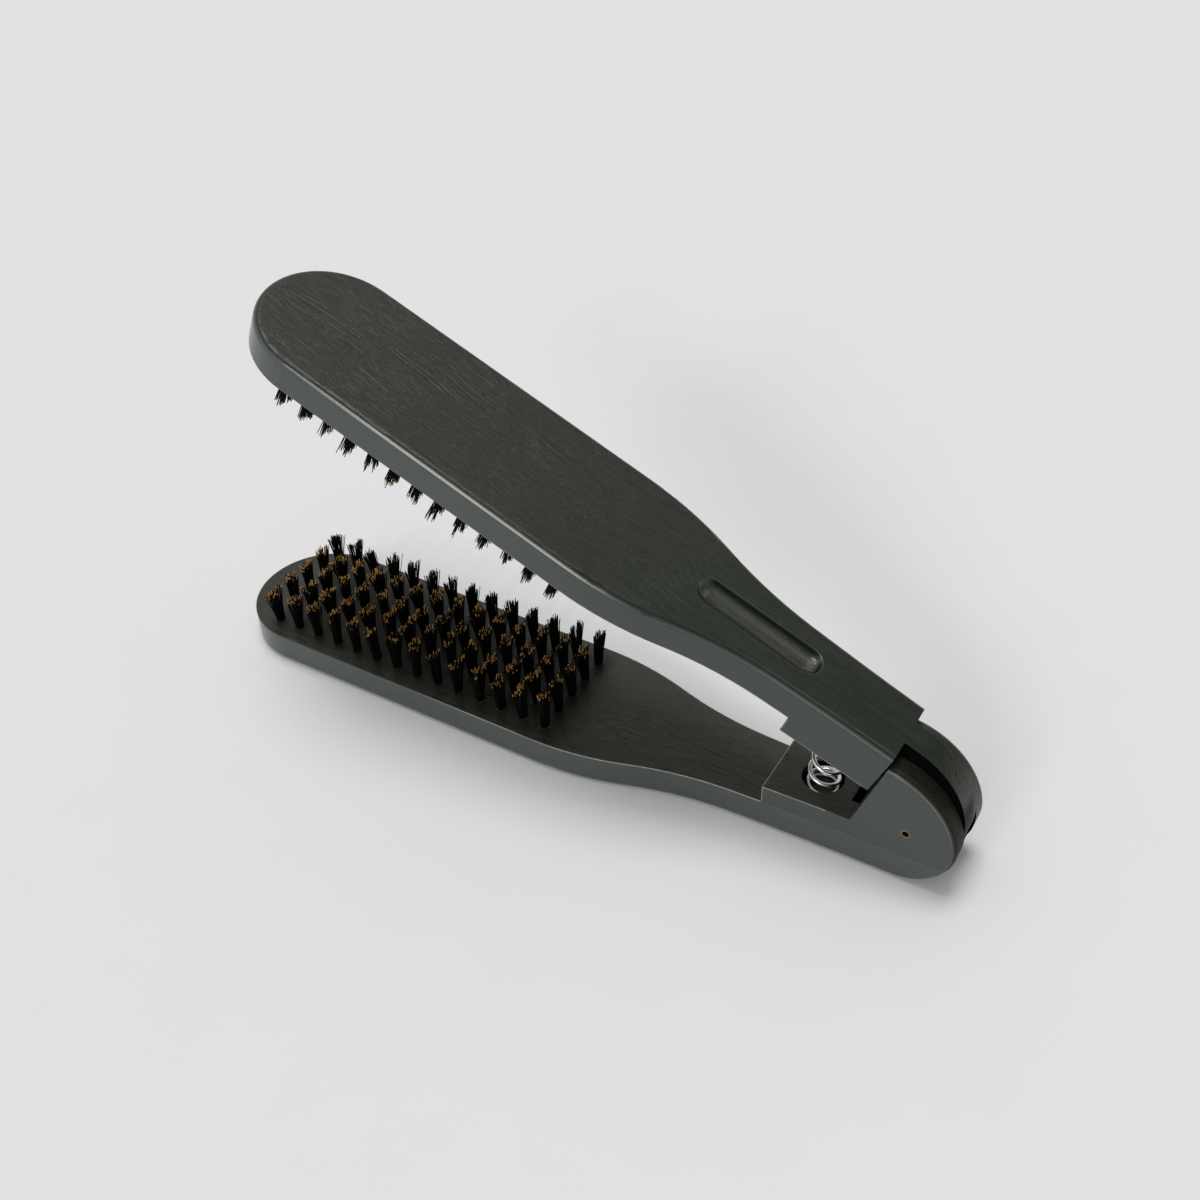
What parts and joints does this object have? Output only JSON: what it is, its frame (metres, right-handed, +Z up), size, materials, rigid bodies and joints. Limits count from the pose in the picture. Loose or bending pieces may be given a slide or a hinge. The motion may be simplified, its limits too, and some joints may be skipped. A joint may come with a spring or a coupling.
{
  "type": "hair grooming brush",
  "caption": "Hinged V-shaped hair grooming brush with stained wooden paddles, bristle tufts on their facing sides, a fork-and-tongue hinge and a coil spring that holds it open.",
  "frame": {"origin": "middle of the lower paddle's flat resting face, halfway along its length", "axes": "+X along the lower paddle from the head to the hinge end, +Y across it, +Z up from the resting face towards the upper paddle"},
  "size_m": [0.2496, 0.0464, 0.1299],
  "materials": {
    "stained_wood": "black stain, satin, fine lengthwise grain",
    "bristle": "natural bristle, black with golden tan tips",
    "anchor_wire": "drawn flat wire",
    "spring_wire": "bright plated wire",
    "pin_brass": "dull tube end"
  },
  "bodies": {
    "lower_paddle": {"lower_board": "stained_wood", "lower_fork_block": "stained_wood", "hinge_pin": "pin_brass", "spring": "spring_wire", "lower_tuft_row_1": "bristle", "lower_tuft_row_2": "bristle", "lower_tuft_row_3": "bristle", "lower_tuft_row_4": "bristle", "lower_tuft_row_5": "bristle", "lower_anchor_row_1": "anchor_wire", "lower_anchor_row_2": "anchor_wire", "lower_anchor_row_3": "anchor_wire", "lower_anchor_row_4": "anchor_wire", "lower_anchor_row_5": "anchor_wire"},
    "upper_paddle": {"upper_board": "stained_wood", "upper_hinge_block": "stained_wood", "upper_tuft_row_1": "bristle", "upper_tuft_row_2": "bristle", "upper_tuft_row_3": "bristle", "upper_tuft_row_4": "bristle", "upper_tuft_row_5": "bristle", "upper_anchor_row_1": "anchor_wire", "upper_anchor_row_2": "anchor_wire", "upper_anchor_row_3": "anchor_wire", "upper_anchor_row_4": "anchor_wire", "upper_anchor_row_5": "anchor_wire"}
  },
  "joints": [
    {"name": "paddle_hinge", "type": "hinge", "parent": "lower_paddle", "child": "upper_paddle", "pos_m": [0.11045, 0, 0.0193], "axis": [0, -1, 0], "range_deg": [0, 22.7], "stiffness_Nm_per_rad": 6, "springref_deg": -2.86, "deforming": ["spring"]}
  ]
}
